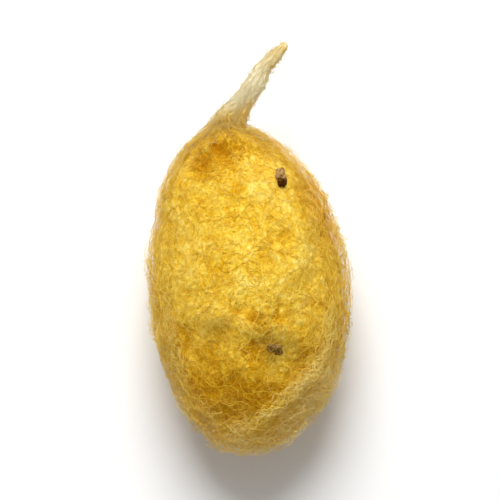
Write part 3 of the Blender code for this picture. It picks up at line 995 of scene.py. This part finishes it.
def felt_material():
    """Matted silk: its colour follows the shade, blotched, with thin raised lines of a paler silk."""
    material, tree, shader = new_material("felted_golden_silk")
    place = object_place(tree)
    lines = [filaments(tree, place, scale, offset) for scale, offset in FILAMENTS]
    strands = maths(tree, "MAXIMUM", maths(tree, "MAXIMUM", lines[0], lines[1]), lines[2])
    blotch = maths(tree, "SUBTRACT", noise_value(tree, place, 1500.0), 0.5)
    shade = maths(tree, "MULTIPLY_ADD", blotch, 0.6, painted(tree, "shade"))
    shade = maths(tree, "MULTIPLY_ADD", maths(tree, "SUBTRACT", strands, 0.35), 0.22, shade)
    tree.links.new(silk_colour(tree, shade), shader.inputs["Base Color"])
    height = maths(tree, "MULTIPLY_ADD", strands, 0.35, noise_value(tree, place, 2600.0))
    add_bump(tree, shader, 1.0, 0.16 * MM, height)
    set_finish(shader, roughness=0.9, specular=0.08, sheen=0.15, tint=(1.0, 0.80, 0.35))
    return material


def fibre_material(name, specular, tint, stops=None):
    """Silk thread: its colour follows the shade, with fine specks of dull and bright silk."""
    material, tree, shader = new_material(name)
    speck = maths(tree, "SUBTRACT", noise_value(tree, object_place(tree), 900.0), 0.5)
    shade = maths(tree, "MULTIPLY_ADD", speck, 0.35, painted(tree, "shade"))
    colour = ramp(tree, shade, stops) if stops else silk_colour(tree, shade)
    tree.links.new(colour, shader.inputs["Base Color"])
    set_finish(shader, roughness=0.55, specular=specular, tint=tint)
    return material


def tail_material():
    material, tree, shader = new_material("pale_silk_ribbon")
    place = object_place(tree)
    fine = noise_value(tree, place, 900.0, 4.0)
    blotch = maths(tree, "SUBTRACT", maths(tree, "ADD", noise_value(tree, place, 260.0), fine), 1.0)
    pale = ramp(tree, maths(tree, "MULTIPLY_ADD", blotch, 0.9, painted(tree, "shade")), PALE_SILK)
    tree.links.new(pale, shader.inputs["Base Color"])
    add_bump(tree, shader, 0.6, 0.05 * MM, fine)
    set_finish(shader, roughness=0.6, specular=0.25)
    return material


def crumb_material(name, stops, dark_from, dark_to):
    """Bark or leaf: rough and blotched, darker towards one end along Y; on the bark the lighter end is partly
    a painted highlight.
    """
    material, tree, shader = new_material(name)
    place = object_place(tree)
    along = add(tree, "ShaderNodeSeparateXYZ", {"Vector": place}).outputs["Y"]
    inputs = {"Value": along, "From Min": dark_from, "From Max": dark_to, "To Min": -0.22, "To Max": 0.22}
    lighter = add(tree, "ShaderNodeMapRange", inputs).outputs["Result"]
    fine = noise_value(tree, place, 2500.0, 4.0)
    tree.links.new(ramp(tree, maths(tree, "ADD", fine, lighter), stops), shader.inputs["Base Color"])
    add_bump(tree, shader, 0.7, 0.08 * MM, fine)
    set_finish(shader, roughness=0.8, specular=0.06, tint=(1.0, 0.8, 0.5))
    return material


# ---- stage

SKY = (  # pale at the horizon and dimmer above
    (0.04, (0.74, 0.74, 0.74)),
    (0.25, (0.36, 0.36, 0.36)),
)
FAR_GLOW = (  # the floor's own glow, by distance in metres, where the light over the cocoon fades out
    (0.15, (0.0, 0.0, 0.0)),
    (0.75, (0.42, 0.42, 0.42)),
)


def aimed(place, target):
    """A matrix that stands at a place and looks at a target."""
    turn = (place - target).to_track_quat("Z", "Y").to_matrix().to_4x4()
    return Matrix.Translation(place) @ turn


def camera():
    data = bpy.data.cameras.new("camera")
    data.sensor_width = SENSOR
    data.lens = SENSOR * LOOK_DISTANCE / VIEW_WIDTH
    data.clip_start = 0.01
    back = Vector((0, -math.cos(LOOK_ELEVATION), math.sin(LOOK_ELEVATION)))
    obj = new_object("camera", data)
    obj.matrix_world = aimed(LOOK_AT + back * LOOK_DISTANCE, LOOK_AT)
    bpy.context.scene.camera = obj


def area_light(name, place, size, power):
    data = bpy.data.lights.new(name, "AREA")
    data.shape = "DISK"
    data.size = size
    data.energy = power
    obj = new_object(name, data)
    obj.matrix_world = aimed(Vector(place), Vector(CENTRE))


def floor():
    mesh = bpy.data.meshes.new("floor")
    bm = bmesh.new()
    bmesh.ops.create_grid(bm, x_segments=1, y_segments=1, size=FLOOR_HALF)
    bm.to_mesh(mesh)
    bm.free()
    material, tree, shader = new_material("floor")
    shader.inputs["Base Color"].default_value = (0.9, 0.9, 0.9, 1)
    shader.inputs["Roughness"].default_value = 0.9
    away = add(tree, "ShaderNodeVectorMath", {0: object_place(tree)}, operation="LENGTH").outputs["Value"]
    shader.inputs["Emission Color"].default_value = (1, 1, 1, 1)
    tree.links.new(ramp(tree, away, FAR_GLOW), shader.inputs["Emission Strength"])
    mesh.materials.append(material)
    obj = new_object("floor", mesh)
    obj.location.z = -FLOOR_DROP


def world():
    scene = bpy.context.scene
    scene.world = scene.world or bpy.data.worlds.new("world")
    scene.world.use_nodes = True
    tree = scene.world.node_tree
    height = add(tree, "ShaderNodeSeparateXYZ", {"Vector": object_place(tree)}).outputs["Z"]
    tree.links.new(ramp(tree, height, SKY), tree.nodes["Background"].inputs["Color"])
    scene.view_settings.view_transform = "Standard"


def stage():
    camera()
    floor()
    world()
    area_light("key", KEY_PLACE, KEY_SIZE, KEY_POWER)


# ---- build

def dress(piece, node, material=None):
    if material:
        piece.data.materials.append(material)
    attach(piece, "root")
    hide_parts(node)


def build():
    rng = np.random.default_rng(SEED)
    form = wall_form()
    guide = Guide(form)
    nap = Guide(form, FELT_NAP)

    golden = fibre_material("golden_fibre", specular=0.15, tint=(1.0, 0.85, 0.45))
    cream = fibre_material("tail_fibre", specular=0.2, tint=(1.0, 0.95, 0.80), stops=PALE_SILK)

    dress(felt_wall(form), "cocoon", felt_material())
    for i in (1, 2, 3):
        dress(felt_fibres(nap, rng, f"felt_fibres_{i}", FELT_COUNT), "cocoon", golden)
    for i in (1, 2, 3):
        dress(floss_fibres(guide, rng, f"floss_{i}", FLOSS_COUNT), "cocoon", golden)
    dress(bundle_threads(guide, rng, "bundle_threads"), "cocoon", golden)
    dress(crumb_threads(guide, rng, "crumb_threads"), "cocoon", golden)
    dress(silk_tail(), "cocoon", tail_material())
    dress(tail_strands(rng, "tail_strands", TAIL_COUNT), "cocoon", cream)
    dress(shoulder_strands(guide, rng, "shoulder_strands", SHOULDER_COUNT), "cocoon", cream)

    bark = crumb_material("dark_bark", BARK, *BARK_DARK)
    leaf = crumb_material("grey_leaf", LEAF, *LEAF_DARK)
    dress(crumb("bark_fleck", bark, BARK_WAIST), "bark_fleck")
    dress(crumb("leaf_crumb", leaf), "leaf_crumb")


stage()
build()
